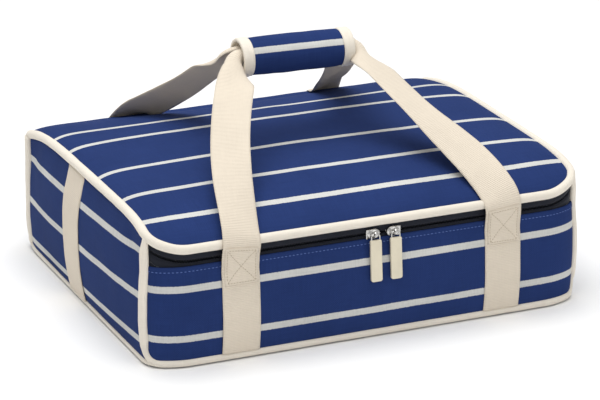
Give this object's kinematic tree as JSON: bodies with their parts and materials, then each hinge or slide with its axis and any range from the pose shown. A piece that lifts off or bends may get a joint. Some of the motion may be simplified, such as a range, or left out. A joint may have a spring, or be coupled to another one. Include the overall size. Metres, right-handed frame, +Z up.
{
  "type": "pizza delivery bag",
  "caption": "Soft insulated rectangular food carrier with a zipped, back-hinged lid, bound edges, sewn webbing straps and raised webbing handles joined in a wrapped padded grip.",
  "frame": {"origin": "centre of the overall box at the underside of the base", "axes": "+X to the right along the width, -Y towards the front with the zip sliders, +Z up"},
  "size_m": [0.455, 0.385, 0.2538],
  "materials": {
    "navy_canvas": "matt woven canvas with pale stripes",
    "cream_binding": "matt cotton binding",
    "cream_webbing": "ribbed cotton webbing",
    "silver_lining": "thin coated insulating lining",
    "insulation_foam": "closed-cell foam",
    "stiffener_board": "matt sheet",
    "zip_tape": "fine woven tape",
    "zip_coil": "nylon coil",
    "nickel": "nickel plated",
    "cream_tab": "smooth, slightly glossy"
  },
  "bodies": {
    "bag_body": {"base_panel": "navy_canvas", "base_board": "stiffener_board", "base_foam": "insulation_foam", "front_panel": "navy_canvas", "back_panel": "navy_canvas", "left_end_panel": "navy_canvas", "right_end_panel": "navy_canvas", "front_foam": "insulation_foam", "back_foam": "insulation_foam", "left_foam": "insulation_foam", "right_foam": "insulation_foam", "tub_lining": "silver_lining", "front_binding": "cream_binding", "back_binding": "cream_binding", "left_base_binding": "cream_binding", "right_base_binding": "cream_binding", "front_left_strap": "cream_webbing", "front_right_strap": "cream_webbing", "back_left_strap": "cream_webbing", "back_right_strap": "cream_webbing", "front_left_patch": "cream_webbing", "front_right_patch": "cream_webbing", "back_left_patch": "cream_webbing", "back_right_patch": "cream_webbing", "left_side_strap": "cream_webbing", "right_side_strap": "cream_webbing", "zip_tape_lower": "zip_tape", "zip_coil_lower": "zip_coil", "left_zip_stop": "zip_coil", "right_zip_stop": "zip_coil", "lid_hinge_strip": "navy_canvas"},
    "lid": {"lid_panel": "navy_canvas", "lid_foam": "insulation_foam", "lid_lining": "silver_lining", "lid_binding": "cream_binding", "zip_tape_upper": "zip_tape", "zip_coil_upper": "zip_coil"},
    "front_handle": {"front_handle_webbing": "cream_webbing"},
    "back_handle": {"back_handle_webbing": "cream_webbing", "grip_sleeve": "navy_canvas", "grip_sleeve_binding_left": "cream_binding", "grip_sleeve_binding_right": "cream_binding", "grip_loop_tape": "zip_tape"},
    "grip_flap": {"grip_flap": "navy_canvas", "grip_flap_binding_left": "cream_binding", "grip_flap_binding_right": "cream_binding", "grip_hook_tape": "zip_tape"},
    "left_slider": {"left_slider": "nickel"},
    "right_slider": {"right_slider": "nickel"},
    "left_pull": {"left_pull_link": "nickel", "left_pull_tab": "cream_tab"},
    "right_pull": {"right_pull_link": "nickel", "right_pull_tab": "cream_tab"}
  },
  "joints": [
    {"name": "lid_hinge", "type": "hinge", "parent": "bag_body", "child": "lid", "pos_m": [0, 0.18693, 0.113], "axis": [-1, 0, 0], "range_deg": [0, 100]},
    {"name": "front_handle_swing", "type": "hinge", "parent": "bag_body", "child": "front_handle", "pos_m": [0, -0.18807, 0.0957], "axis": [1, 0, 0], "range_deg": [0, 155], "deforming": ["front_handle_webbing"]},
    {"name": "back_handle_swing", "type": "hinge", "parent": "bag_body", "child": "back_handle", "pos_m": [0, 0.18993, 0.0957], "axis": [-1, 0, 0], "range_deg": [0, 155], "deforming": ["back_handle_webbing"]},
    {"name": "grip_flap_hinge", "type": "hinge", "parent": "back_handle", "child": "grip_flap", "pos_m": [0, 0.01133, 0.25101], "axis": [-1, 0, 0], "range_deg": [0, 75]},
    {"name": "left_slider_travel", "type": "slide", "parent": "bag_body", "child": "left_slider", "axis": [-1, 0, 0], "range_m": [0, 0.16]},
    {"name": "right_slider_travel", "type": "slide", "parent": "bag_body", "child": "right_slider", "axis": [1, 0, 0], "range_m": [0, 0.15]},
    {"name": "left_pull_swing", "type": "hinge", "parent": "left_slider", "child": "left_pull", "pos_m": [0.0005, -0.18997, 0.106], "axis": [-1, 0, 0], "range_deg": [0, 110]},
    {"name": "right_pull_swing", "type": "hinge", "parent": "right_slider", "child": "right_pull", "pos_m": [0.0215, -0.18997, 0.106], "axis": [-1, 0, 0], "range_deg": [0, 110]}
  ],
  "couplings": [
    {"joint": "front_handle_swing", "follows": "lid_hinge", "ratio": 1.55},
    {"joint": "back_handle_swing", "follows": "lid_hinge", "ratio": 1.55},
    {"joint": "grip_flap_hinge", "follows": "lid_hinge", "ratio": 0.75}
  ]
}
